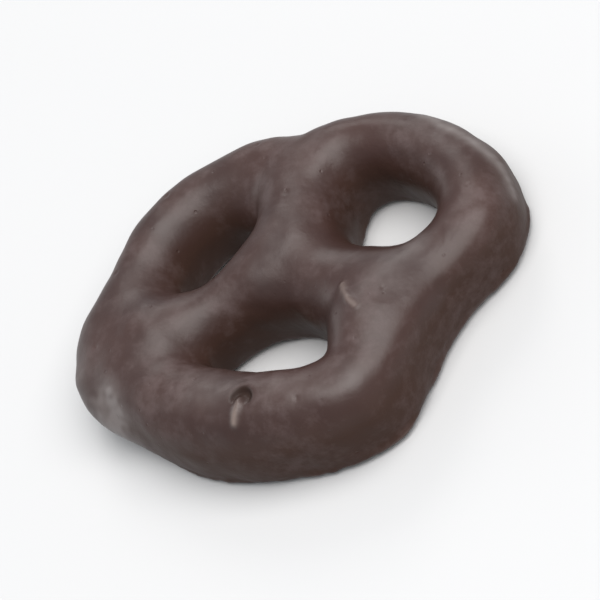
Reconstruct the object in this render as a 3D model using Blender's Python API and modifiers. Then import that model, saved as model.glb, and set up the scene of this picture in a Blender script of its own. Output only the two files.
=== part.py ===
"""Chocolate covered pretzel, one mini twist, lying flat on its base.

The dough is one rope. It starts at the left arm's tip, climbs over the twist,
runs round the right lobe, the bottom arc and the left lobe, goes under itself
at the twist and ends in the right arm. The coat is chocolate that has flowed
over the rope: it rounds every corner, fills the crotches between the strands
and stands on a flat base that formed while it set.

Units are metres, +Z up. The origin is the middle of the base, +X runs across
the two lobes and +Y towards the cleft between them.
"""
import bpy
import bmesh
import numpy as np

NAME = "chocolate_pretzel"
MM = 0.001

# Driving dimensions, in millimetres
AXIS_HEIGHT = 4.2      # height of the rope's axis where it lies on its own
ROPE_HEIGHT = 4.2      # rope half height above that axis
ROPE_WIDTH = 3.2       # rope half width with its coat
ARC_WIDTH = 4.2        # half width at the middle of the bottom arc, where the rope is thickest
ARC_HEIGHT = 5.4       # half height there
TWIST_RISE = 0.8       # how far the upper strand climbs at the twist
STEP = 0.6             # distance between the rope's sections
FLOW = 1.4             # radius over which the coat runs together in a corner
FOOT = 0.6             # how much slower the rope narrows below its axis than above it
BASE_EDGE = 1.2        # edge radius around the flat base
MESH_SIZE = 1.1        # edge length of the finished surface

# Stations of the rope: x, y, axis height, half width, half height
W, H, Z = ROPE_WIDTH, ROPE_HEIGHT, AXIS_HEIGHT
LEFT_ARM = [(-15., -2.5, Z + .2, W - 1., H - .5), (-9.5, -1., Z, W - .6, H - .4),
            (-4., 2., Z + .2, W - .5, H - .2)]
OVER = [(.5, 6., Z + TWIST_RISE, W - .7, H - .3), (.5, 11.5, Z + .2, W - .5, H - .3)]
RIGHT_LOBE = [(4., 15.5, Z + .2, W - .4, H + .2), (10.5, 14.5, Z + .2, W - .1, H + .2),
              (17., 10., Z - .5, W + .2, H), (18.5, 3.5, Z - .5, W + .3, H),
              (13., -2., Z - .2, W - .1, H - .1), (10.5, -8., Z + .1, W - .1, H)]
BOTTOM_ARC = [(8.5, -13.5, Z, ARC_WIDTH - .8, ARC_HEIGHT - .4), (1.5, -14., Z, ARC_WIDTH, ARC_HEIGHT),
              (-6.5, -12.5, Z - .1, ARC_WIDTH + .4, ARC_HEIGHT - .2), (-14., -8.5, Z - .2, W + .3, H + .2)]
LEFT_LOBE = [(-20., -3., Z - .4, W + .1, H - .1), (-17.5, 3., Z - .1, W, H - .1), (-14.5, 10.5, Z + .1, W, H),
             (-8., 14.5, Z, W - .3, H - .1), (-2., 15.5, Z - .1, W - .5, H - .1)]
UNDER = [(0., 11.5, Z - .1, W - .9, H - .4), (0., 5.5, Z - .4, W - .9, H - .4)]
RIGHT_ARM = [(3.5, 0., Z, W + .5, H - .3), (8., -1., Z + .2, W + 1.4, H - .3),
             (10.5, -2.5, Z + .3, W + 1., H - .3)]
ROUTE = LEFT_ARM + OVER + RIGHT_LOBE + BOTTOM_ARC + LEFT_LOBE + UNDER + RIGHT_ARM

# Chocolate pooled in the tight corners of the holes, same columns
POOLS = [(-5., 12.5, 3.6, 2.1, 2.8),     # left hole, towards the twist
         (-15.5, -1., 4.4, 3., 3.4),     # left hole, where the arm meets the loop
         (-1.5, 2., 4., 2.6, 3.6),       # lower hole, under the twist
         (-13.5, -4.5, 4.4, 2.1, 3.6),   # lower hole, left corner
         (9., -6., 5.6, 3.2, 3.8)]       # lower hole, right corner


def sections(stations, step):
    """Smooth curve through the stations (Catmull-Rom), as rows at equal distances along it."""
    p = np.array(stations, float)
    p = np.vstack([2 * p[0] - p[1], p, 2 * p[-1] - p[-2]])
    t = np.linspace(0, 1, 40, endpoint=False)[:, None]
    rows = []
    for a, b, c, d in zip(p, p[1:], p[2:], p[3:]):
        rows.append(0.5 * (2 * b + (c - a) * t + (2 * a - 5 * b + 4 * c - d) * t**2
                           + (3 * b - a - 3 * c + d) * t**3))
    q = np.vstack(rows + [p[-2:-1]])
    along = np.r_[0, np.cumsum(np.linalg.norm(np.diff(q[:, :3], axis=0), axis=1))]
    u = np.linspace(0, along[-1], round(along[-1] / step) + 1)
    return np.column_stack([np.interp(u, along, column) for column in q.T])


ROPE = sections(ROUTE, STEP)


def coat(points):
    """Signed distance to the coat, about, in mm: below zero inside it.

    Every section of the rope is an ellipsoid. A soft minimum over all of them
    is the flowed coat, and lift takes back what neighbours on one strand add.
    """
    body = np.vstack([ROPE, POOLS])
    lift = np.r_[FLOW * np.log(np.sqrt(2 * np.pi * ROPE[:, 3] * FLOW) / STEP), np.zeros(len(POOLS))]
    flat = (points[:, None, :2] - body[None, :, :2])**2
    flat = flat.sum(2)
    up = points[:, None, 2] - body[None, :, 2]
    up = np.where(up < 0, up * FOOT, up)**2
    wide, high = body[:, 3], body[:, 4]
    k0 = np.sqrt(flat / wide**2 + up / high**2)
    k1 = np.sqrt(flat / wide**4 + up / high**4) + 1e-9
    d = k0 * (k0 - 1) / k1 + lift
    nearest = d.min(1)
    flowed = nearest - FLOW * np.log(np.exp((nearest[:, None] - d) / FLOW).sum(1))
    ground = -points[:, 2]
    blend = np.maximum(BASE_EDGE - np.abs(flowed - ground), 0)
    return np.maximum(flowed, ground) + blend**2 / (4 * BASE_EDGE)


def settle(mesh, rounds=9):
    """Moves the mesh's vertices onto the coat's surface along its slope, evening them out at first."""
    bm = bmesh.new()
    bm.from_mesh(mesh)
    for n in range(rounds):
        if n < rounds - 3:
            bmesh.ops.smooth_vert(bm, verts=bm.verts, factor=0.5,
                                  use_axis_x=True, use_axis_y=True, use_axis_z=True)
        p = np.array([v.co for v in bm.verts]) / MM
        d = coat(p)
        slope = np.column_stack([coat(p + h) - d for h in np.eye(3) * 0.02]) / 0.02
        p -= (d / np.maximum((slope**2).sum(1), 0.2))[:, None] * slope
        p[np.abs(p[:, 2]) < 0.03, 2] = 0
        for v, co in zip(bm.verts, p * MM):
            v.co = co
    bm.to_mesh(mesh)
    bm.free()


def remeshed(obj, size):
    """The object's mesh rebuilt with even quads of the given size in mm."""
    mod = obj.modifiers.new("even_quads", "REMESH")
    mod.mode = "VOXEL"
    mod.voxel_size = size * MM
    mod.use_smooth_shade = True
    ready = obj.evaluated_get(bpy.context.evaluated_depsgraph_get())
    mesh = bpy.data.meshes.new_from_object(ready)
    obj.modifiers.remove(mod)
    return mesh


def chocolate():
    mat = bpy.data.materials.new("dark_chocolate")
    mat.use_nodes = True
    bsdf = mat.node_tree.nodes["Principled BSDF"]
    bsdf.inputs["Base Color"].default_value = (0.110, 0.078, 0.073, 1)
    bsdf.inputs["Roughness"].default_value = 0.5
    bsdf.inputs["Metallic"].default_value = 0.0
    return mat


for old in list(bpy.data.objects):
    bpy.data.objects.remove(old, do_unlink=True)

parts = bpy.data.collections.new(NAME)
bpy.context.scene.collection.children.link(parts)

# The rope as a bevelled curve, thick enough for its strands to merge
curve = bpy.data.curves.new("rope", "CURVE")
curve.dimensions = "3D"
curve.bevel_depth = MM
curve.bevel_resolution = 4
curve.use_fill_caps = True
route = ROPE[::3]
spline = curve.splines.new("POLY")
spline.points.add(len(route) - 1)
for point, (x, y, z, wide, high) in zip(spline.points, route):
    point.co = (x * MM, y * MM, z * MM, 1)
    point.radius = wide
rope = bpy.data.objects.new("rope", curve)
parts.objects.link(rope)

# Rope and pools in one mesh, made even and then settled on the coat
ready = rope.evaluated_get(bpy.context.evaluated_depsgraph_get())
dough = bpy.data.meshes.new_from_object(ready)
bpy.data.objects.remove(rope, do_unlink=True)
bm = bmesh.new()
bm.from_mesh(dough)
bmesh.ops.remove_doubles(bm, verts=bm.verts, dist=0.02 * MM)
for x, y, z, wide, high in POOLS:
    ball = bmesh.ops.create_uvsphere(bm, u_segments=16, v_segments=10, radius=wide * MM)
    bmesh.ops.translate(bm, verts=ball["verts"], vec=(x * MM, y * MM, z * MM))
bm.to_mesh(dough)
bm.free()

pretzel = bpy.data.objects.new(NAME, dough)
parts.objects.link(pretzel)
for size in (0.9, MESH_SIZE):
    pretzel.data = remeshed(pretzel, size)
    settle(pretzel.data)

# Origin to the middle of the base
xyz = np.array([v.co for v in pretzel.data.vertices])
middle = (xyz.min(0) + xyz.max(0)) / 2
for v in pretzel.data.vertices:
    v.co.x -= middle[0]
    v.co.y -= middle[1]

pretzel.data.name = NAME
pretzel.data.materials.clear()
pretzel.data.materials.append(chocolate())
pretzel.data.shade_smooth()
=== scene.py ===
# %% [markdown]
# # A chocolate covered pretzel
# This lesson dresses one bite-size pretzel: a rope of dough twisted once, baked,
# drowned in dark chocolate and left to set on a sheet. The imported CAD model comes
# first. It is the fixed frame: its box is the size that the finished piece keeps,
# and its one body, root, is what the piece rides on.

# %% Load the frame
import bpy
import bmesh
import numpy as np
from mathutils import Matrix, Vector


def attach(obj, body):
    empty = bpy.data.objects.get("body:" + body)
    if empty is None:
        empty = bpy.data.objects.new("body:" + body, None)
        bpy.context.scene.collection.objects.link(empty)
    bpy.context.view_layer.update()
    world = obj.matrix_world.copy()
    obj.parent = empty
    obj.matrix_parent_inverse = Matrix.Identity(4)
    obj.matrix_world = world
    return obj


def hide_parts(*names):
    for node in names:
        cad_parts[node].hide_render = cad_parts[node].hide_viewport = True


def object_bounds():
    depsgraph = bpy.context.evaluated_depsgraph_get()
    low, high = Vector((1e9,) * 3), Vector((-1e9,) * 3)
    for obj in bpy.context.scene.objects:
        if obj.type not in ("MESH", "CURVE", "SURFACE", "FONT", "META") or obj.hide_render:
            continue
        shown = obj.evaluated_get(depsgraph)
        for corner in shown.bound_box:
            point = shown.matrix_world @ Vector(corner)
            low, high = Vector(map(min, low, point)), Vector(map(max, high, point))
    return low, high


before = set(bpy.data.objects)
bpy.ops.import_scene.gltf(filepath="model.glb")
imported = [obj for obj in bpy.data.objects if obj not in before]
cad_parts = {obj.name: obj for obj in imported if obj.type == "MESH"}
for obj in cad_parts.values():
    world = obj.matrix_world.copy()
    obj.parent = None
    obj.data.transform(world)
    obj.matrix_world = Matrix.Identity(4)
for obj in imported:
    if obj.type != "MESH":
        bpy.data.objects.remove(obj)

MM = 0.001    # Blender's own unit is the metre
CAD_LOW, CAD_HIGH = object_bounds()
print("CAD box, mm:", [round((b - a) / MM, 1) for a, b in zip(CAD_LOW, CAD_HIGH)])

# %% [markdown]
# ## The rope's route
# The dough is a single rope, so the whole form follows from one path and two
# radii along it. The path is drawn through a few stations, as a baker lays it:
# left arm, over the twist, right lobe, bottom arc, left lobe, under the twist and
# out into the right arm. A Catmull-Rom curve is chosen because it passes through
# every station, so a station can be read straight off the photo.

# %% Stations in millimetres: x, y, height of the axis, half width, half height
Z, W, H = 4.2, 3.2, 4.2    # a plain stretch of the rope: axis height, half width, half height
TWIST_RISE = 0.8           # the upper strand climbs over the lower one
ARC_W, ARC_H = 4.2, 5.4    # the rope is thickest in the middle of the bottom arc
LEFT_ARM = [(-15.0, -2.5, Z + 0.2, W - 1.0, H - 0.5), (-9.5, -1.0, Z, W - 0.6, H - 0.4),
            (-4.0, 2.0, Z + 0.2, W - 0.5, H - 0.2)]
OVER = [(0.5, 6.0, Z + TWIST_RISE, W - 0.7, H - 0.3), (0.5, 11.5, Z + 0.2, W - 0.5, H - 0.3)]
RIGHT_LOBE = [(4.0, 15.5, Z + 0.2, W - 0.4, H + 0.2), (10.5, 14.5, Z + 0.2, W - 0.1, H + 0.2),
              (17.0, 10.0, Z - 0.5, W + 0.2, H), (18.5, 3.5, Z - 0.5, W + 0.3, H),
              (13.0, -2.0, Z - 0.2, W - 0.1, H - 0.1), (10.5, -8.0, Z + 0.1, W - 0.1, H)]
BOTTOM_ARC = [(8.5, -13.5, Z, ARC_W - 0.8, ARC_H - 0.4), (1.5, -14.0, Z, ARC_W, ARC_H),
              (-6.5, -12.5, Z - 0.1, ARC_W + 0.4, ARC_H - 0.2),
              (-14.0, -8.5, Z - 0.2, W + 0.3, H + 0.2)]
LEFT_LOBE = [(-20.0, -3.0, Z - 0.4, W + 0.1, H - 0.1), (-17.5, 3.0, Z - 0.1, W, H - 0.1),
             (-14.5, 10.5, Z + 0.1, W, H), (-8.0, 14.5, Z, W - 0.3, H - 0.1),
             (-2.0, 15.5, Z - 0.1, W - 0.5, H - 0.1)]
UNDER = [(0.0, 11.5, Z - 0.1, W - 0.9, H - 0.4), (0.0, 5.5, Z - 0.4, W - 0.9, H - 0.4)]
RIGHT_ARM = [(3.5, 0.0, Z, W + 0.5, H - 0.3), (8.0, -1.0, Z + 0.2, W + 1.4, H - 0.3),
             (10.5, -2.5, Z + 0.3, W + 1.0, H - 0.3)]
STATIONS = np.array(LEFT_ARM + OVER + RIGHT_LOBE + BOTTOM_ARC + LEFT_LOBE + UNDER + RIGHT_ARM)

# Chocolate pooled in the tight corners of the holes: centre, half width, half height
POOLS = np.array([(-5.0, 12.5, 3.6, 2.1, 2.8), (-15.5, -1.0, 4.4, 3.0, 3.4),
                  (-1.5, 2.0, 4.0, 2.6, 3.6), (-13.5, -4.5, 4.4, 2.1, 3.6),
                  (9.0, -6.0, 5.6, 3.2, 3.8)])
print("%d stations and %d pools" % (len(STATIONS), len(POOLS)))


# %% A smooth path through the stations
def smooth_path(stations, step, samples=40):
    """Catmull-Rom curve through the stations, cut into equal steps.

    Between b and c, with neighbours a and d, the point at t from 0 to 1 is half of
    2b + (c-a)t + (2a-5b+4c-d)t^2 + (3b-a-3c+d)t^3.
    """
    p = np.vstack([2 * stations[0] - stations[1], stations, 2 * stations[-1] - stations[-2]])
    a, b, c, d = (p[i:len(p) - 3 + i, None] for i in range(4))
    t = np.linspace(0, 1, samples, endpoint=False)[None, :, None]
    rows = 0.5 * (2 * b + (c - a) * t + (2 * a - 5 * b + 4 * c - d) * t**2
                  + (3 * b - a - 3 * c + d) * t**3)
    rows = np.vstack([rows.reshape(-1, stations.shape[1]), stations[-1:]])
    along = np.r_[0, np.cumsum(np.linalg.norm(np.diff(rows[:, :3], axis=0), axis=1))]
    at = np.linspace(0, along[-1], round(along[-1] / step) + 1)
    return np.column_stack([np.interp(at, along, column) for column in rows.T])


STEP = 0.6    # mm from section to section
ROPE = smooth_path(STATIONS, STEP)
print("rope: %d sections, %.0f mm long" % (len(ROPE), STEP * (len(ROPE) - 1)))

# %% [markdown]
# ## The bare rope
# A profile carried along the path gives the rope. Each section is an ellipse with
# the path's own half width and half height, pressed flat where it would sink
# through the sheet. Only a rough body is needed here, because the coat will be
# laid over it, but it has to be closed, with a pole at each end.

# %% Carry an ellipse along the path
END_SECTIONS = 4    # an end of the rope closes over this many sections
LOWEST = 0.2        # mm over the sheet, where a section is pressed flat


def ring_faces(rows, columns):
    """Quads between neighbouring rings, and a fan from each end ring to its pole."""
    i, j = np.meshgrid(np.arange(rows - 1), np.arange(columns), indexing="ij")
    here, beside = i * columns + j, i * columns + (j + 1) % columns
    quads = np.stack([here, beside, beside + columns, here + columns], -1).reshape(-1, 4)
    ring = np.arange(columns)
    ahead = (ring + 1) % columns
    last_ring = (rows - 1) * columns
    first_pole, last_pole = (np.full(columns, rows * columns + pole) for pole in (0, 1))
    first_fan = np.column_stack([ahead, ring, first_pole])
    last_fan = np.column_stack([last_ring + ring, last_ring + ahead, last_pole])
    return [quads, first_fan, last_fan]


def rope_grid(path, columns=28):
    """Point (i, j) is centre_i + wide_i cos(a_j) across_i + high_i sin(a_j) up.

    across_i is level and square to the path, and the ends close in quarter circles.
    """
    centre, wide, high = path[:, :3], path[:, 3:4], path[:, 4:5]
    along = np.gradient(centre, axis=0)
    across = np.column_stack([along[:, 1], -along[:, 0], 0 * along[:, 0]])
    across /= np.linalg.norm(across, axis=1, keepdims=True)
    a = np.linspace(0, 2 * np.pi, columns, endpoint=False)[None, :, None]
    to_end = np.minimum(np.arange(len(path)), np.arange(len(path))[::-1]) + 0.5
    close = np.sqrt(1 - np.clip(1 - to_end / END_SECTIONS, 0, 1)**2)[:, None, None]
    ring = (wide[:, None] * close * np.cos(a) * across[:, None]
            + high[:, None] * close * np.sin(a) * [0, 0, 1])
    points = centre[:, None] + ring
    points[..., 2] = np.maximum(points[..., 2], LOWEST)
    points = np.vstack([points.reshape(-1, 3), centre[:1], centre[-1:]])
    return points, ring_faces(len(path), columns)


def pool_grid(pool, rows=9, columns=16):
    """Ellipsoid: x and y turn with longitude, z runs with latitude, poles at both ends."""
    x, y, z, wide, high = pool
    lat = np.linspace(-np.pi / 2, np.pi / 2, rows + 2)[1:-1, None]
    lon = np.linspace(0, 2 * np.pi, columns, endpoint=False)[None, :]
    points = np.stack([x + wide * np.cos(lat) * np.cos(lon),
                       y + wide * np.cos(lat) * np.sin(lon),
                       z + high * np.sin(lat) + 0 * lon], -1).reshape(-1, 3)
    points = np.vstack([points, [(x, y, z - high), (x, y, z + high)]])
    return points, ring_faces(rows, columns)


# %% Put the rope and the pools into one mesh
def mesh_object(name, grids):
    """One mesh object from several grids of (points in mm, faces)."""
    points, faces = [], []
    for grid_points, grid_faces in grids:
        start = sum(map(len, points))
        points.append(grid_points)
        for part in grid_faces:
            faces += (part + start).tolist()
    mesh = bpy.data.meshes.new(name)
    mesh.from_pydata((np.vstack(points) * MM).tolist(), [], faces)
    mesh.validate()
    obj = bpy.data.objects.new(name, mesh)
    bpy.context.scene.collection.objects.link(obj)
    return obj


coat = mesh_object("chocolate_coat", [rope_grid(ROPE)] + [pool_grid(p) for p in POOLS])
print("bare rope: %d vertices" % len(coat.data.vertices))

# %% [markdown]
# ## The coat that flowed
# Liquid chocolate bridges every crotch and rounds every crease. A soft minimum
# does the same to a distance: near one strand it follows the strand, and where
# two strands meet it swells into a fillet. The rough body is rebuilt as even
# quads, and its vertices then slide down the slope of that distance until they
# lie on the coat. A smooth maximum with the ground cuts the flat base.

# %% Distance to the coat
FLOW = 1.4        # mm, how far the coat runs together in a corner
FOOT = 0.6        # sections narrow this much slower below their axis, so the flanks stay steep
BASE_EDGE = 1.2   # mm, edge radius round the base
CHUNK = 4096      # places worked out at a time, which keeps the arrays small
BODY = np.vstack([ROPE, POOLS])
LIFT = np.r_[FLOW * np.log(np.sqrt(2 * np.pi * ROPE[:, 3] * FLOW) / STEP), np.zeros(len(POOLS))]


def coat_distance(points):
    """About the signed distance in mm, below zero inside the coat.

    Each section s is an ellipsoid with distance k0(k0-1)/k1. The coat is
    -FLOW log(sum exp(-d_s / FLOW)), with LIFT added so that neighbours on one
    strand don't fatten it, and the base is its smooth maximum with -z.
    """
    out = np.empty(len(points))
    for i in range(0, len(points), CHUNK):
        p = points[i:i + CHUNK]
        flat = ((p[:, None, :2] - BODY[None, :, :2])**2).sum(2)
        up = p[:, None, 2] - BODY[None, :, 2]
        up = np.where(up < 0, up * FOOT, up)**2
        k0 = np.sqrt(flat / BODY[:, 3]**2 + up / BODY[:, 4]**2)
        k1 = np.sqrt(flat / BODY[:, 3]**4 + up / BODY[:, 4]**4) + 1e-9
        d = k0 * (k0 - 1) / k1 + LIFT
        low = d.min(1)
        out[i:i + CHUNK] = low - FLOW * np.log(np.exp((low[:, None] - d) / FLOW).sum(1))
    ground = -points[:, 2]
    blend = np.maximum(BASE_EDGE - np.abs(out - ground), 0)
    return np.maximum(out, ground) + blend**2 / (4 * BASE_EDGE)


print("from the sheet's surface up into the coat, mm:",
      coat_distance(np.array([(1.5, -14.0, z) for z in (0.0, 4.0, 8.0, 12.0)])).round(1))


# %% Helpers for the mesh: one modifier, vertex places, evening out
def baked(obj, kind, **settings):
    """The object's mesh after one modifier, put back on the object."""
    mod = obj.modifiers.new(kind.lower(), kind)
    for key, value in settings.items():
        setattr(mod, key, value)
    shown = obj.evaluated_get(bpy.context.evaluated_depsgraph_get())
    mesh = bpy.data.meshes.new_from_object(shown)
    obj.modifiers.remove(mod)
    obj.data = mesh


def get_points(mesh):
    """Vertex places in mm."""
    p = np.empty(len(mesh.vertices) * 3)
    mesh.vertices.foreach_get("co", p)
    return p.reshape(-1, 3) / MM


def set_points(mesh, points):
    """Puts vertex places in mm back into the mesh."""
    mesh.vertices.foreach_set("co", (points * MM).ravel())
    mesh.update()


def even_out(bm, verts):
    """Moves each of the vertices halfway towards the middle of its neighbours."""
    bmesh.ops.smooth_vert(bm, verts=verts, factor=0.5,
                          use_axis_x=True, use_axis_y=True, use_axis_z=True)


# %% Rebuild, even out and settle
PROBE = 0.02         # mm, the step that measures the slope
LEAST_SLOPE = 0.2    # a smaller slope squared counts as this, so no vertex jumps
ROUGH_QUAD = 0.9     # mm
FINE_QUAD = 0.45     # mm, before one subdivision halves it


def settle(obj, rounds, evening):
    """Each round moves a vertex by distance / slope, along the slope.

    The first rounds, as many as evening says, also even the mesh out.
    """
    for n in range(rounds):
        if n < evening:
            bm = bmesh.new()
            bm.from_mesh(obj.data)
            even_out(bm, bm.verts)
            bm.to_mesh(obj.data)
            bm.free()
        p = get_points(obj.data)
        d = coat_distance(p)
        slope = np.column_stack([coat_distance(p + h) - d for h in np.eye(3) * PROBE]) / PROBE
        p -= (d / np.maximum((slope**2).sum(1), LEAST_SLOPE))[:, None] * slope
        set_points(obj.data, p)


baked(coat, "REMESH", mode="VOXEL", voxel_size=ROUGH_QUAD * MM)
settle(coat, rounds=5, evening=3)
baked(coat, "REMESH", mode="VOXEL", voxel_size=FINE_QUAD * MM)
settle(coat, rounds=4, evening=2)
baked(coat, "SUBSURF", levels=1, render_levels=1)
points = get_points(coat.data)
points[:, :2] -= (points.min(0)[:2] + points.max(0)[:2]) / 2
set_points(coat.data, points)
print("coat: %d faces, %.1f x %.1f x %.1f mm" % (len(coat.data.polygons), *np.ptp(points, axis=0)))

# %% [markdown]
# ## Faults and rubbed places: where they are
# A few faults make the coat look poured and not moulded. A big air bubble burst
# on the bottom arc. Its skin sank in as a slope that leaves a dark arch at the
# top, and its hollow gets painted shade. A tongue of it ran out downhill, pale
# partly as thin chocolate and partly as a painted highlight. A thread of chocolate
# lies as a welt beside the lower hole, with the same pale tint, and on the flank of
# the left corner the chocolate stopped in a fat roll. Ridges and edges that touched
# something are rubbed pale, and the same pale tint paints highlights and
# reflections on them. All of them could be pieces joined to the coat, but on the
# real one they are the coat, so they become bumps, dents and tints of it, each
# along a short line. The mesh only needs to be finer where the bubble and the
# welt will be.

# %% Where the faults are, in mm
BUBBLE_AT = np.array([-1.3, -14.4, 9.5])           # the middle of its opening
BUBBLE_ACROSS = np.array([0.98, -0.20, 0.0])
BUBBLE_ALONG = np.array([-0.19, -0.94, -0.27])     # downhill, the way it ran out
BUBBLE_WIDE, BUBBLE_LONG = 1.25, 1.3               # half width, half length
BUBBLE_DEEP, BUBBLE_LIP = 0.5, 0.05                # depth, height of the lip round it
TONGUE = np.array([(-1.5, -14.2, 9.5), (-1.6, -14.9, 9.4), (-1.8, -15.4, 9.2),
                   (-2.0, -15.8, 8.9), (-2.2, -16.3, 8.5)])
TONGUE_WIDE, TONGUE_HIGH = 0.45, 0.22
TONGUE_FILLS = 0.8                                 # the share of the bubble's depth under it
WELT = np.array([(7.9, -3.5, 9.2), (8.4, -4.5, 9.6), (9.3, -6.0, 10.1), (10.1, -6.9, 10.1)])
WELT_WIDE, WELT_HIGH = 0.36, 0.2
WELT_TOP_WIDE = 1.4 * WELT_WIDE                    # its upper end is wider
ROLL = np.array([(-20.3, -6.3, 6.2), (-19.6, -8.2, 5.2), (-18.3, -10.0, 4.0),
                 (-15.5, -12.5, 3.0)])
ROLL_WIDE, ROLL_HIGH = 2.0, 0.85
ROLL_ENDS, ROLL_FADES = -12, 6                     # its right end in x, and how far it fades
CREASE = np.array([(15.4, 0.6, 8.1), (14.4, -0.9, 8.5), (13.6, -2.0, 8.8),
                   (13.0, -3.3, 9.0), (12.6, -4.6, 9.2)])
# Pin holes on top, where small bubbles came out: x, y, radius
PIN_HOLES = [(-17.5, 4.5, 0.35), (-13.0, 12.5, 0.45), (-3.5, 16.0, 0.35), (1.0, 8.5, 0.4),
             (12.5, 15.0, 0.35), (19.5, 6.0, 0.45), (12.5, -5.0, 0.35), (4.5, -15.5, 0.4),
             (-9.0, -11.0, 0.35), (-18.5, -4.0, 0.4)]
print("bubble %.1f mm wide, %d pin holes" % (2 * BUBBLE_WIDE, len(PIN_HOLES)))

# %% Where the coat was rubbed pale, and where pale highlights and reflections are painted on ridges and edges, in mm
SCUFF_HIGHLIGHT = np.array([(-17.0, -9.2, 7.4), (-16.6, -9.8, 7.1), (-16.4, -10.4, 6.3),
                  (-17.0, -10.5, 5.0), (-17.5, -10.3, 3.4)])
SCUFF_HIGHLIGHT_SIDE = np.array([(-18.5, -8.9, 6.1), (-18.3, -9.3, 5.6), (-18.4, -9.5, 4.7)])
ARC_TOP = np.array([(2.0, -13.8, 9.6), (4.1, -14.6, 9.5), (6.2, -14.9, 9.4),
                    (8.3, -14.8, 9.2), (9.7, -14.2, 9.0)])
ARC_LEFT = np.array([(-7.0, -12.2, 9.2), (-5.3, -13.1, 9.4), (-3.6, -13.1, 9.5),
                     (-2.6, -12.7, 9.4)])
NECK = np.array([(0.0, 4.5, 9.9), (0.4, 2.0, 9.5), (-1.1, 0.3, 8.8)])
LOBE_EDGE = np.array([(13.9, 15.3, 7.7), (15.8, 13.9, 7.6), (17.4, 12.9, 7.3),
                      (18.9, 11.7, 6.9), (20.2, 10.5, 6.4), (21.2, 9.6, 5.5),
                      (22.0, 8.0, 4.9), (22.4, 6.6, 4.5)])
HOLE_EDGE = np.array([(5.9, 1.3, 8.2), (7.5, 0.8, 8.2), (9.2, 0.2, 8.3), (11.1, -0.3, 8.4),
                      (12.0, -0.6, 8.6), (12.8, -0.3, 8.5), (13.6, 0.3, 8.2), (14.5, 1.2, 7.9)])
# line, half width, strength of a pale tint that is partly wear and partly painted highlight and
# reflection
RUBBED_AND_HIGHLIT = [(SCUFF_HIGHLIGHT, 1.4, 0.95), (SCUFF_HIGHLIGHT_SIDE, 1.0, 0.4), (ARC_TOP, 1.1, 0.15),
          (ARC_LEFT, 1.2, 0.2), (NECK, 1.5, 0.15), (LOBE_EDGE, 0.8, 0.7),
          (HOLE_EDGE, 0.7, 0.2), (CREASE, 1.6, 0.13)]
print("%d rubbed places" % len(RUBBED_AND_HIGHLIT))


# %% The fine mesh that small faults need
def finer_near(obj, places, reach):
    """Halves every edge whose middle lies within reach mm of a place."""
    mesh = obj.data
    ends = np.empty(len(mesh.edges) * 2, dtype=np.int32)
    mesh.edges.foreach_get("vertices", ends)
    middle = get_points(mesh)[ends.reshape(-1, 2)].mean(1)
    near = (np.linalg.norm(middle[:, None] - places, axis=2) < reach).any(1)
    bm = bmesh.new()
    bm.from_mesh(mesh)
    bm.edges.ensure_lookup_table()
    chosen = [bm.edges[i] for i in np.flatnonzero(near)]
    bmesh.ops.subdivide_edges(bm, edges=chosen, cuts=1, use_grid_fill=True)
    bm.to_mesh(mesh)
    bm.free()
    print("%d edges halved, now %d faces" % (near.sum(), len(mesh.polygons)))


finer_near(coat, np.vstack([BUBBLE_AT, TONGUE, WELT]), reach=1.6)

# %% [markdown]
# ## Relief
# The coat isn't even. It filled the crease where the right arm meets the strand
# beside it, and it is a little thicker here and thinner there, most of all along
# the shoulder of the right side, on the top ridge and behind the right lobe. It ran
# down the flanks and spread as a thin foot on the sheet. Each is a height over the
# surface, in mm, as a function of the place, and all of them are added up and
# pushed along the normals. A sculpted surface could show the same, but a sum of
# heights says how thick each of them is.

# %% The crease that filled up
def near_line(p, line, wide):
    """exp(-(d / wide)^2), with d the distance to the nearest stretch of the line."""
    start, step = line[:-1], np.diff(line, axis=0)
    t = np.clip(((p[:, None] - start) * step).sum(2) / (step**2).sum(1), 0, 1)
    d = np.linalg.norm(p[:, None] - start - t[..., None] * step, axis=2).min(1)
    return np.exp(-(d / wide)**2)


def fill_crease(obj, line, reach, rounds):
    """Evens out, round after round, what lies within reach mm of the line."""
    bm = bmesh.new()
    bm.from_mesh(obj.data)
    bm.verts.ensure_lookup_table()
    near = near_line(get_points(obj.data), line, reach) > np.exp(-1)
    chosen = [bm.verts[i] for i in np.flatnonzero(near)]
    for n in range(rounds):
        even_out(bm, chosen)
    bm.to_mesh(obj.data)
    bm.free()
    print("crease filled over %d vertices" % len(chosen))


fill_crease(coat, CREASE, reach=2.2, rounds=60)

# %% Lines along which the coat ran together extra thick, in mm
SHOULDER = np.array([(21.4, 4.2, 6.8), (20.1, 0.2, 6.4), (18.2, -1.9, 6.4), (16.5, -3.7, 6.7),
                     (15.0, -6.3, 7.2), (14.0, -9.6, 7.4), (12.6, -12.6, 7.4)])
LOBE_BACK = np.array([(13.7, 15.0, 7.0), (15.5, 14.5, 6.5), (17.0, 13.5, 6.3)])
TOP_RIDGE = np.array([(4.1, 13.1, 9.0), (3.9, 12.3, 8.9), (3.7, 11.6, 8.8)])
# line, half width, height
FAT = [(SHOULDER, 1.6, 0.4), (LOBE_BACK, 1.3, 0.3), (TOP_RIDGE, 1.1, 0.15)]
print("thickest extra coat: %.1f mm" % max(extra for line, wide, extra in FAT))

# %% Heights over the surface
rng = np.random.default_rng(7)
# height and length of the waves, in mm
THICKNESS_WAVES = [(0.08, 7.0), (0.022, 2.6)]
RUN_HIGH, RUN_APART = 0.03, 3.4      # mm, runs down the flanks
FLAT_BELOW, FULL_OVER = 0.4, 1.2     # mm, no relief near the sheet, then it comes in


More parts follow.
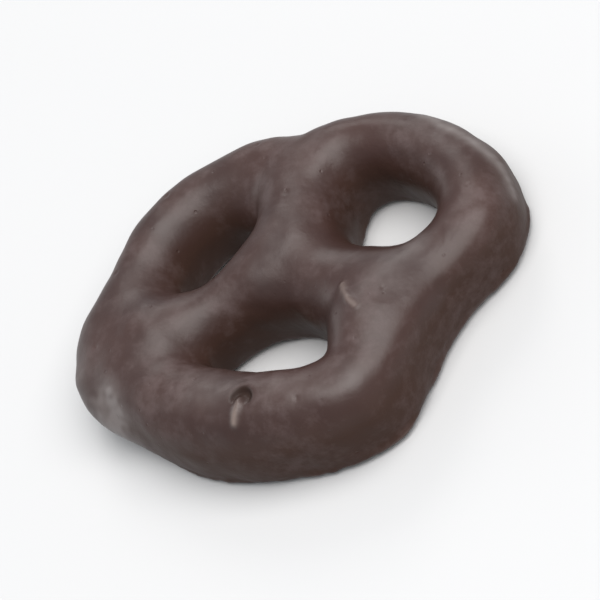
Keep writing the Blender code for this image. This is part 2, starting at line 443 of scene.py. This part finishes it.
def swell(p, length, waves=28):
    """Sum of the sines of plane waves in all directions, over the root of their number.

    Each is about length mm long, and the result stays between about -1 and 1.
    """
    way = rng.normal(size=(waves, 3))
    pitch = (2 * np.pi / length) * rng.uniform(0.7, 1.3, (waves, 1))
    way *= pitch / np.linalg.norm(way, axis=1, keepdims=True)
    return np.sin(p @ way.T + rng.uniform(0, 2 * np.pi, waves)).sum(1) / np.sqrt(waves)


def uneven(p, mean, waves):
    """The mean, plus height times a swell for each (height, length)."""
    for high, length in waves:
        mean = mean + high * swell(p, length)
    return mean


def normals(mesh):
    """Vertex normals, one row each."""
    n = np.empty(len(mesh.vertices) * 3)
    mesh.vertex_normals.foreach_get("vector", n)
    return n.reshape(-1, 3)


p, n = get_points(coat.data), normals(coat.data)
thickness = uneven(p, 0, THICKNESS_WAVES)
for line, wide, extra in FAT:
    thickness += extra * near_line(p, line, wide)
runs = RUN_HIGH * swell(p * [1, 1, 0], RUN_APART) * (1 - n[:, 2]**2)
height = (thickness + runs) * np.clip((p[:, 2] - FLAT_BELOW) / FULL_OVER, 0, 1)
print("coat thicker or thinner by up to %.2f mm" % np.abs(height).max())

# %% The thin foot round the base, and the marks of the sheet under it
FOOT_AT, FOOT_THICK, FOOT_WIDE = 0.3, 0.5, 0.34    # mm
FOOT_WAVES = [(0.22, 5.0), (0.10, 1.5)]
MARKS_DEEP, MARKS_FROM = 0.15, 0.4                 # depth in mm, how high a swell leaves one
MARKS_WAVES = [(1, 5.0), (0.3, 1.8)]
outward = n * [1, 1, 0]
outward /= np.maximum(np.linalg.norm(outward, axis=1, keepdims=True), 0.3)
upright = np.clip(1.5 * (1 - np.abs(n[:, 2])), 0, 1)
at_foot = np.exp(-((p[:, 2] - FOOT_AT) / FOOT_THICK)**2) * upright
foot = at_foot * np.clip(uneven(p, FOOT_WIDE, FOOT_WAVES), 0, None)
under = np.clip((-n[:, 2] - 0.97) / 0.03, 0, 1)
sheet_marks = under * MARKS_DEEP * np.clip(uneven(p, 0, MARKS_WAVES) - MARKS_FROM, 0, 1)
print("foot: up to %.2f mm wide, sheet marks %.2f mm deep" % (foot.max(), sheet_marks.max()))


# %% Shapes of the burst bubble and of the pin holes
def smooth_step(x, low, high):
    """3t^2 - 2t^3, with t running from 0 at low to 1 at high."""
    t = np.clip((x - low) / (high - low), 0, 1)
    return t * t * (3 - 2 * t)


def burst_bubble(p, reach=4, far=9.0):
    """Its height and how far inside a place is, 0 to 1.

    r is 1 on an oval round the opening, and far for a place more than reach mm away.
    The wall falls between r = 1.05 and 0.6, and a low lip exp(-((r - 1.3) / 0.2)^2)
    stands round it.
    """
    q = p - BUBBLE_AT
    r = np.hypot(q @ BUBBLE_ACROSS / BUBBLE_WIDE, q @ BUBBLE_ALONG / BUBBLE_LONG)
    r = np.where(np.linalg.norm(q, axis=1) < reach, r, far)
    inside = 1 - smooth_step(r, 0.6, 1.05)
    lip = BUBBLE_LIP * np.exp(-((r - 1.3) / 0.2)**2)
    return lip - BUBBLE_DEEP * inside, 1 - smooth_step(r, 0.9, 1.15)


def pin_holes(p, n):
    """Craters on top at x, y with radius r: -0.3 r (1 - (d / r)^2)^2."""
    out = np.zeros(len(p))
    for x, y, r in PIN_HOLES:
        d2 = ((p[:, :2] - (x, y))**2).sum(1) / r**2
        out -= 0.3 * r * np.clip(1 - d2, 0, 1)**2 * (n[:, 2] > 0.5)
    return out


# %% Add the faults to the relief
bubble, in_bubble_shade = burst_bubble(p)
downhill = (p - BUBBLE_AT) @ BUBBLE_ALONG
sunk = 1 - smooth_step(downhill, -0.4, 0.9)   # the skin slopes up again towards its lower end
tongue = near_line(p, TONGUE, TONGUE_WIDE) * smooth_step(downhill, -0.9, 0.5)
welt = np.maximum(near_line(p, WELT, WELT_WIDE), near_line(p, WELT[:2], WELT_TOP_WIDE))
roll = near_line(p, ROLL, ROLL_WIDE) * np.clip((ROLL_ENDS - p[:, 0]) / ROLL_FADES, 0, 1)
height += (bubble * sunk * (1 - TONGUE_FILLS * tongue) + TONGUE_HIGH * tongue
           + WELT_HIGH * welt + ROLL_HIGH * roll + pin_holes(p, n))
print("relief with its faults: %.2f to %.2f mm" % (height.min(), height.max()))

# %% Put the relief on the coat, inside the box
ROOM = 0.12                          # mm, kept for the relief between the smooth coat and the box
LOWERED_FROM, LOWERED_OVER = 8, 2    # mm, the top comes down by ROOM above this height
BOX_GAP = 0.02                       # mm, the piece stays this far inside the box
box_low, box_high = np.array(CAD_LOW) / MM, np.array(CAD_HIGH) / MM
p[:, :2] *= 1 - ROOM / box_high[:2]
p[:, 2] -= ROOM * np.clip((p[:, 2] - LOWERED_FROM) / LOWERED_OVER, 0, 1)**2
p = p + n * height[:, None] + outward * foot[:, None]
p[:, 2] = np.maximum(p[:, 2], 0) + sheet_marks
p = np.clip(p, box_low + [BOX_GAP, BOX_GAP, 0], box_high - BOX_GAP)
set_points(coat.data, p)
coat.data.shade_smooth()
print("size with its relief, mm:", np.ptp(p, axis=0).round(1))

# %% Shares, 0 to 1, that the material reads at each vertex
THIN_BELOW, THIN_OVER = 9, 4    # mm, only the flanks below this height are thin
ROLL_RUBBED_AND_HIGHLIT, WELT_PALE = 0.3, 0.5
# The tongue gets a paler tint towards its lower end, partly thin chocolate and partly a painted
# highlight
pale_highlight = np.maximum(tongue**2 * (0.3 + 0.6 * smooth_step(downhill, 0, 1.8)), WELT_PALE * welt**2)
# The coat is thin where the surface is steep
thin = np.clip(uneven(p, 1.3 * (1 - np.abs(n[:, 2])), [(0.15, 5.0)]), 0, 1)
thin *= np.clip((THIN_BELOW - p[:, 2]) / THIN_OVER, 0, 1)
# rubbed places on ridges and edges: partly wear, partly painted highlight and reflection
scuffed_and_highlit = sum(share * near_line(p, line, wide) for line, wide, share in RUBBED_AND_HIGHLIT)
scuffed_and_highlit = np.clip((ROLL_RUBBED_AND_HIGHLIT * roll + scuffed_and_highlit) * uneven(p, 1, [(0.2, 1.2)]), 0, 1)
# The bubble's share paints shade into its hollow. The thread's share is pale partly as a painted
# highlight, and the rubbed share is partly wear and partly painted highlight and reflection.
SHARES = {"thin_coat": thin * (1 - roll), "in_bubble_shade": in_bubble_shade * sunk * (1 - tongue),
          "pale_thread_highlight": pale_highlight, "scuffed_and_highlit": scuffed_and_highlit}
for name, share in SHARES.items():
    coat.data.attributes.new(name, "FLOAT", "POINT").data.foreach_set("value", share)
    print("%s: %.1f%% of the vertices" % (name, 100 * (share > 0.1).mean()))

# %% [markdown]
# ## Dark chocolate
# The real coat is dark chocolate that set on its own, so it has a satin skin, not
# a polished one. Cocoa butter has an IOR near 1.46. The colour under the gloss is
# a nearly black red brown, and the pale look on the ridges is light from all
# round caught by the rough skin, with a faint grey bloom of fat in some places.
# One flat brown with a gloss would look like plastic, so the browns, the bloom,
# the rubbed places with their painted highlights, and the skin each get a few nodes of their own.

# %% Browns and greys, as sRGB hex
DEEP_BROWN, SOFT_BROWN, WARM_BROWN = "#301E1B", "#3B2925", "#3C2520"
FLANK_BROWN = "#3B2A24"      # the baked dough shows through a little
# painted shade inside the burst bubble's hollow
BUBBLE_PAINTED_SHADE = "#2D211D"
BLOOM_GREY = "#77696A"       # cocoa butter that rose
FOOT_DUST_AND_REFLECTION = "#8A7D77"        # the thin foot: partly scraped by the sheet, partly a painted reflection of the floor
# partly rubbed wear, partly painted highlight and reflection on ridges and edges
SCUFF_HIGHLIGHT_GREY = "#6D6563"
THREAD_PALE_HIGHLIGHT = "#73655F"      # partly thin chocolate scratched light, partly a painted highlight on the tongue and the welt


def hex_colour(code):
    """sRGB hex to linear: c/12.92 below 0.04045, else ((c+0.055)/1.055)^2.4."""
    c = np.array([int(code[i:i + 2], 16) for i in (1, 3, 5)]) / 255
    return (*np.where(c <= 0.04045, c / 12.92, ((c + 0.055) / 1.055)**2.4), 1.0)


print("deep brown, linear:", np.round(hex_colour(DEEP_BROWN), 3))


# %% Node helpers
def add(tree, kind, inputs=None, **settings):
    """Adds a node. A socket among the inputs is linked, anything else is set as a value."""
    made = tree.nodes.new(kind)
    for key, value in settings.items():
        setattr(made, key, value)
    for key, value in (inputs or {}).items():
        if isinstance(value, bpy.types.NodeSocket):
            tree.links.new(value, made.inputs[key])
        else:
            made.inputs[key].default_value = value
    return made


def every(mm):
    """Noise scale for a feature of that size: waves per metre."""
    return 1000 / mm


# %% Browns of the enrobed chocolate: clouds 6 mm across, and warmer patches 10 mm across
COCOA_BUTTER_IOR = 1.46
chocolate = bpy.data.materials.new("dark_chocolate_set_unpolished")
chocolate.use_nodes = True
tree = chocolate.node_tree
bsdf = tree.nodes["Principled BSDF"]
bsdf.inputs["IOR"].default_value = COCOA_BUTTER_IOR
place = add(tree, "ShaderNodeTexCoord").outputs["Object"]
cloud = add(tree, "ShaderNodeTexNoise", {"Vector": place, "Scale": every(6), "Detail": 4,
                                         "Roughness": 0.55})
haze = add(tree, "ShaderNodeMapRange", {"Value": cloud.outputs["Fac"], "From Min": 0.35,
                                        "From Max": 0.75})
brown = add(tree, "ShaderNodeMix", {"Factor": haze.outputs["Result"], "A": hex_colour(DEEP_BROWN),
                                    "B": hex_colour(SOFT_BROWN)}, data_type="RGBA")
patch = add(tree, "ShaderNodeTexNoise", {"Vector": place, "Scale": every(10), "Detail": 2,
                                         "Roughness": 0.5})
warm = add(tree, "ShaderNodeMapRange", {"Value": patch.outputs["Fac"], "From Min": 0.48,
                                        "From Max": 0.72, "To Max": 0.6})
brown = add(tree, "ShaderNodeMix", {"Factor": warm.outputs["Result"],
                                    "A": brown.outputs["Result"],
                                    "B": hex_colour(WARM_BROWN)}, data_type="RGBA")
print("browns: %d nodes" % len(tree.nodes))

# %% Flanks: chocolate ran off them, and the dough warms the brown
SHINY, DULL = 0.5, 0.1    # specular level, on top and on the flanks and the bubble's wall
thin = add(tree, "ShaderNodeAttribute", attribute_name="thin_coat").outputs["Fac"]
brown = add(tree, "ShaderNodeMix", {"Factor": thin, "A": brown.outputs["Result"],
                                    "B": hex_colour(FLANK_BROWN)}, data_type="RGBA")
# the burst bubble's hollow: painted shade in the colour below, and a duller gloss here
bubble_shade = add(tree, "ShaderNodeAttribute", attribute_name="in_bubble_shade").outputs["Fac"]
dull = add(tree, "ShaderNodeMath", {0: thin, 1: bubble_shade}, operation="MAXIMUM")
shine = add(tree, "ShaderNodeMapRange", {"Value": dull.outputs["Value"], "To Min": SHINY,
                                         "To Max": DULL})
tree.links.new(shine.outputs["Result"], bsdf.inputs["Specular IOR Level"])
print("with the flanks: %d nodes" % len(tree.nodes))

# %% Bloom: cocoa butter that rose as a pale haze of fine specks, 1.2 mm apart
speck = add(tree, "ShaderNodeTexNoise", {"Vector": place, "Scale": every(1.2), "Detail": 5,
                                         "Roughness": 0.65})
specks = add(tree, "ShaderNodeMath", {0: speck.outputs["Fac"], 1: cloud.outputs["Fac"]},
             operation="MULTIPLY")
bloom = add(tree, "ShaderNodeMapRange", {"Value": specks.outputs["Value"], "From Min": 0.24,
                                         "From Max": 0.42, "To Max": 0.15})
coloured = add(tree, "ShaderNodeMix", {"Factor": bloom.outputs["Result"],
                                       "A": brown.outputs["Result"],
                                       "B": hex_colour(BLOOM_GREY)}, data_type="RGBA")
print("with the bloom: %d nodes" % len(tree.nodes))

# %% Pale tints: the thin foot, partly scraped and partly a painted reflection of the floor; rubbed ridges and edges, partly wear and partly painted highlight; painted shade in the bubble; the pale thread, partly a painted highlight
spot = add(tree, "ShaderNodeSeparateXYZ", {"Vector": place})
low_down = add(tree, "ShaderNodeMapRange", {"Value": spot.outputs["Z"], "From Min": 0.9 * MM,
                                            "From Max": 0.1 * MM})
dust_and_reflection = add(tree, "ShaderNodeMath", {0: low_down.outputs["Result"], 1: haze.outputs["Result"]},
           operation="MULTIPLY")
scuff_highlight = add(tree, "ShaderNodeAttribute", attribute_name="scuffed_and_highlit").outputs["Fac"]
thread_highlight = add(tree, "ShaderNodeAttribute", attribute_name="pale_thread_highlight").outputs["Fac"]
for share, colour in ((dust_and_reflection.outputs["Value"], FOOT_DUST_AND_REFLECTION), (scuff_highlight, SCUFF_HIGHLIGHT_GREY),
                      (bubble_shade, BUBBLE_PAINTED_SHADE), (thread_highlight, THREAD_PALE_HIGHLIGHT)):
    coloured = add(tree, "ShaderNodeMix", {"Factor": share, "A": coloured.outputs["Result"],
                                           "B": hex_colour(colour)}, data_type="RGBA")
tree.links.new(coloured.outputs["Result"], bsdf.inputs["Base Color"])
print("with the rubbed places: %d nodes" % len(tree.nodes))

# %% Satin skin: 0.7 mm orange peel with a finer grain in it, and pits about 0.3 mm across
SKIN_DEEP = 0.03 * MM
rough = add(tree, "ShaderNodeMapRange", {"Value": cloud.outputs["Fac"], "From Min": 0.3,
                                         "From Max": 0.7, "To Min": 0.40, "To Max": 0.48})
rough = add(tree, "ShaderNodeMath", {0: bloom.outputs["Result"], 1: 0.3,
                                     2: rough.outputs["Result"]}, operation="MULTIPLY_ADD")
tree.links.new(rough.outputs["Value"], bsdf.inputs["Roughness"])
peel = add(tree, "ShaderNodeTexNoise", {"Vector": place, "Scale": every(0.7), "Detail": 3})
skin = add(tree, "ShaderNodeBump", {"Height": peel.outputs["Fac"], "Distance": SKIN_DEEP,
                                    "Strength": 1.0})
cell = add(tree, "ShaderNodeTexVoronoi", {"Vector": place, "Scale": every(2.0)})
pit = add(tree, "ShaderNodeMapRange", {"Value": cell.outputs["Distance"], "From Min": 0.04,
                                       "From Max": 0.09})
pitted = add(tree, "ShaderNodeBump", {"Height": pit.outputs["Result"], "Distance": SKIN_DEEP,
                                      "Strength": 1.0, "Normal": skin.outputs["Normal"]})
tree.links.new(pitted.outputs["Normal"], bsdf.inputs["Normal"])
print("with the skin: %d nodes" % len(tree.nodes))

# %% Dress the coat
coat.data.materials.clear()
coat.data.materials.append(chocolate)
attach(coat, "root")
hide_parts("chocolate_pretzel")
print("dressed: %d faces of %s" % (len(coat.data.polygons), chocolate.name))

# %% [markdown]
# ## Floor, light and camera
# The photo is a bright shop picture, white all round, with a broad light from
# above. A white sky and one large softbox give that, and three weaker ones
# behind the pretzel draw the pale edge that a white room gives it. One strong lamp
# would be simpler, but its shadow would be hard. The camera looks at the pretzel
# as the photo does, with a long lens, so near and far parts keep one scale.

# %% Floor
FLOOR_HALF, FLOOR_Z = 2, -0.05 * MM    # m, and just under the base, so the two don't flicker
PAPER_WHITE, PAPER_ROUGH = "#BCBCBD", 0.8
floor_mesh = bpy.data.meshes.new("floor")
floor_mesh.from_pydata([(-FLOOR_HALF, -FLOOR_HALF, FLOOR_Z), (FLOOR_HALF, -FLOOR_HALF, FLOOR_Z),
                        (FLOOR_HALF, FLOOR_HALF, FLOOR_Z), (-FLOOR_HALF, FLOOR_HALF, FLOOR_Z)],
                       [], [(0, 1, 2, 3)])
floor = bpy.data.objects.new("floor", floor_mesh)
bpy.context.scene.collection.objects.link(floor)
paper = bpy.data.materials.new("white_paper")
paper.use_nodes = True
paper_bsdf = paper.node_tree.nodes["Principled BSDF"]
paper_bsdf.inputs["Base Color"].default_value = hex_colour(PAPER_WHITE)
paper_bsdf.inputs["Roughness"].default_value = PAPER_ROUGH
floor_mesh.materials.append(paper)
print("floor: %.0f m square" % (2 * FLOOR_HALF))

# %% Camera: the photo's direction, turned about its own axis as the pretzel leaned
AZIMUTH, ELEVATION, TURN = np.radians([36.7, 44.5, 40.0])
DISTANCE, WIDTH_SEEN = 640 * MM, 56.1 * MM
AIM = Vector((-0.27, 1.01, 2.79)) * MM
SENSOR = 36    # mm
back = Vector((np.sin(AZIMUTH) * np.cos(ELEVATION), -np.cos(AZIMUTH) * np.cos(ELEVATION),
               np.sin(ELEVATION)))
level = Vector((np.cos(AZIMUTH), np.sin(AZIMUTH), 0))
rise = back.cross(level)
right = level * np.cos(TURN) - rise * np.sin(TURN)
up = level * np.sin(TURN) + rise * np.cos(TURN)
lens = bpy.data.cameras.new("camera")
lens.sensor_width = SENSOR
lens.lens = SENSOR * DISTANCE / WIDTH_SEEN
lens.clip_start, lens.clip_end = 0.01, 20
camera = bpy.data.objects.new("camera", lens)
facing = Matrix((right, up, back)).transposed().to_4x4()
camera.matrix_world = Matrix.Translation(AIM + back * DISTANCE) @ facing
bpy.context.scene.collection.objects.link(camera)
bpy.context.scene.camera = camera
print("lens: %.0f mm" % lens.lens)

# %% Light
LIGHT_DISTANCE = 1.4                    # m
SOFTBOX_WHITE = (1.0, 0.98, 0.955)      # a little warm, against the bluish sky
SKY_WHITE, SKY_STRENGTH = (0.85, 0.93, 1.0, 1), 0.46


def softbox(name, towards, size, watts):
    """A square area light that faces the pretzel from that direction."""
    light = bpy.data.lights.new(name, "AREA")
    light.shape = "SQUARE"
    light.size = size
    light.energy = watts
    light.color = SOFTBOX_WHITE
    obj = bpy.data.objects.new(name, light)
    way = towards.normalized()
    turned = way.to_track_quat("Z", "Y").to_matrix().to_4x4()
    obj.matrix_world = Matrix.Translation(way * LIGHT_DISTANCE) @ turned
    bpy.context.scene.collection.objects.link(obj)


softbox("key_softbox", back * 0.86 + up * 0.48 - right * 0.14, size=1.6, watts=39.5)
softbox("rim_softbox", up * 0.92 - right * 0.37 - back * 0.14, size=0.5, watts=4)
softbox("right_rim_softbox", up * 0.60 + right * 0.60 - back * 0.50, size=0.5, watts=2.5)
softbox("left_softbox", up * 0.2 - right * 0.9 - back * 0.3, size=0.7, watts=2.5)
sky = bpy.data.worlds.new("white_room")
sky.use_nodes = True
sky.node_tree.nodes["Background"].inputs["Color"].default_value = SKY_WHITE
sky.node_tree.nodes["Background"].inputs["Strength"].default_value = SKY_STRENGTH
bpy.context.scene.world = sky
bpy.context.scene.view_settings.view_transform = "Standard"
print("softboxes: %.1f W in all" % sum(light.energy for light in bpy.data.lights))
